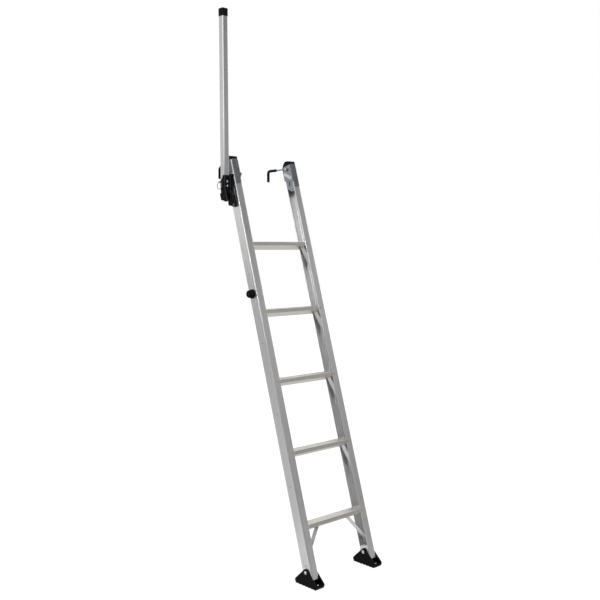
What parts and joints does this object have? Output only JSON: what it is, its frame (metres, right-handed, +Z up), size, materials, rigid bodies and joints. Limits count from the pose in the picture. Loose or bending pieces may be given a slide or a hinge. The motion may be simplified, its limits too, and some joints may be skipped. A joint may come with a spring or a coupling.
{
  "type": "truck ladder",
  "caption": "Leaning aluminium ladder for a truck bed: wedge rungs in channel stiles, tilting shoes, hooks that fold over the gate and a fold-down handrail.",
  "frame": {"origin": "on the ground midway between the two shoes, straight under their pivots", "axes": "+X to the climber's right, +Y towards the truck, +Z up; the stiles lean 16.3 degrees from upright towards +Y"},
  "size_m": [0.4613, 0.6713, 2.3651],
  "materials": {
    "stile_aluminium": "satin extruded",
    "rung_aluminium": "satin extruded, ribbed tread",
    "brace_aluminium": "mill finish",
    "rail_aluminium": "satin drawn tube",
    "rivet_aluminium": "bright",
    "grey_casting": "grey painted casting",
    "black_nylon": "moulded, satin",
    "black_rubber": "matt",
    "zinc_steel": "bright zinc plated",
    "black_steel": "black painted"
  },
  "bodies": {
    "ladder": {"left_stile": "stile_aluminium", "right_stile": "stile_aluminium", "rung_1": "rung_aluminium", "rung_2": "rung_aluminium", "rung_3": "rung_aluminium", "rung_4": "rung_aluminium", "rung_5": "rung_aluminium", "left_rung_braces": "brace_aluminium", "right_rung_braces": "brace_aluminium", "left_bottom_brace": "brace_aluminium", "right_bottom_brace": "brace_aluminium", "left_foot_insert": "brace_aluminium", "right_foot_insert": "brace_aluminium", "rung_rivets": "rivet_aluminium", "brace_rivets": "rivet_aluminium", "left_hook_bracket": "grey_casting", "right_hook_bracket": "grey_casting", "rail_bracket": "black_nylon", "left_top_cap": "black_rubber", "right_top_cap": "black_rubber", "rail_rest": "black_rubber", "left_shoe_bolt": "zinc_steel", "right_shoe_bolt": "zinc_steel", "hook_pivot_screws": "zinc_steel", "latch_screws": "zinc_steel", "bracket_screws": "zinc_steel", "rail_bracket_bolts": "zinc_steel", "lock_spring": "zinc_steel", "rail_rest_screw": "zinc_steel", "rail_pivot_bolt": "black_steel"},
    "rail": {"rail_socket": "black_nylon", "rail_tube": "rail_aluminium", "rail_cap": "black_nylon", "rail_rivets": "rivet_aluminium"},
    "lock": {"lock_pin": "zinc_steel"},
    "ring": {"pull_ring": "zinc_steel"},
    "left_shoe": {"left_shoe": "black_nylon", "left_sole": "black_rubber", "left_sole_screws": "zinc_steel"},
    "right_shoe": {"right_shoe": "black_nylon", "right_sole": "black_rubber", "right_sole_screws": "zinc_steel"},
    "left_hook": {"left_hook_rod": "zinc_steel", "left_hook_sleeve": "black_rubber"},
    "right_hook": {"right_hook_rod": "zinc_steel", "right_hook_sleeve": "black_rubber"},
    "left_latch": {"left_hook_latch": "zinc_steel"},
    "right_latch": {"right_hook_latch": "zinc_steel"}
  },
  "joints": [
    {"name": "rail_fold", "type": "hinge", "parent": "ladder", "child": "rail", "pos_m": [-0.2245, 0.4523, 1.59205], "axis": [1, 0, 0], "range_deg": [0, 163.7]},
    {"name": "lock_slide", "type": "slide", "parent": "ladder", "child": "lock", "axis": [1, 0, 0], "range_m": [0, 0.004]},
    {"name": "ring_swing", "type": "hinge", "parent": "lock", "child": "ring", "pos_m": [-0.25965, 0.4503, 1.63481], "axis": [0, 1, 0], "range_deg": [0, 100]},
    {"name": "left_shoe_tilt", "type": "hinge", "parent": "ladder", "child": "left_shoe", "pos_m": [-0.17, 0, 0.056], "axis": [1, 0, 0], "range_deg": [-30, 30]},
    {"name": "right_shoe_tilt", "type": "hinge", "parent": "ladder", "child": "right_shoe", "pos_m": [0.17, 0, 0.056], "axis": [1, 0, 0], "range_deg": [-30, 30]},
    {"name": "left_hook_fold", "type": "hinge", "parent": "ladder", "child": "left_hook", "pos_m": [-0.1423, 0.48056, 1.71507], "axis": [1, 0, 0], "range_deg": [-74, 0]},
    {"name": "right_hook_fold", "type": "hinge", "parent": "ladder", "child": "right_hook", "pos_m": [0.1423, 0.48056, 1.71507], "axis": [1, 0, 0], "range_deg": [-74, 0]},
    {"name": "left_latch_turn", "type": "hinge", "parent": "ladder", "child": "left_latch", "pos_m": [-0.1456, 0.44938, 1.6747], "axis": [1, 0, 0], "range_deg": [-40, 12]},
    {"name": "right_latch_turn", "type": "hinge", "parent": "ladder", "child": "right_latch", "pos_m": [0.1456, 0.44938, 1.6747], "axis": [1, 0, 0], "range_deg": [-40, 12]}
  ]
}
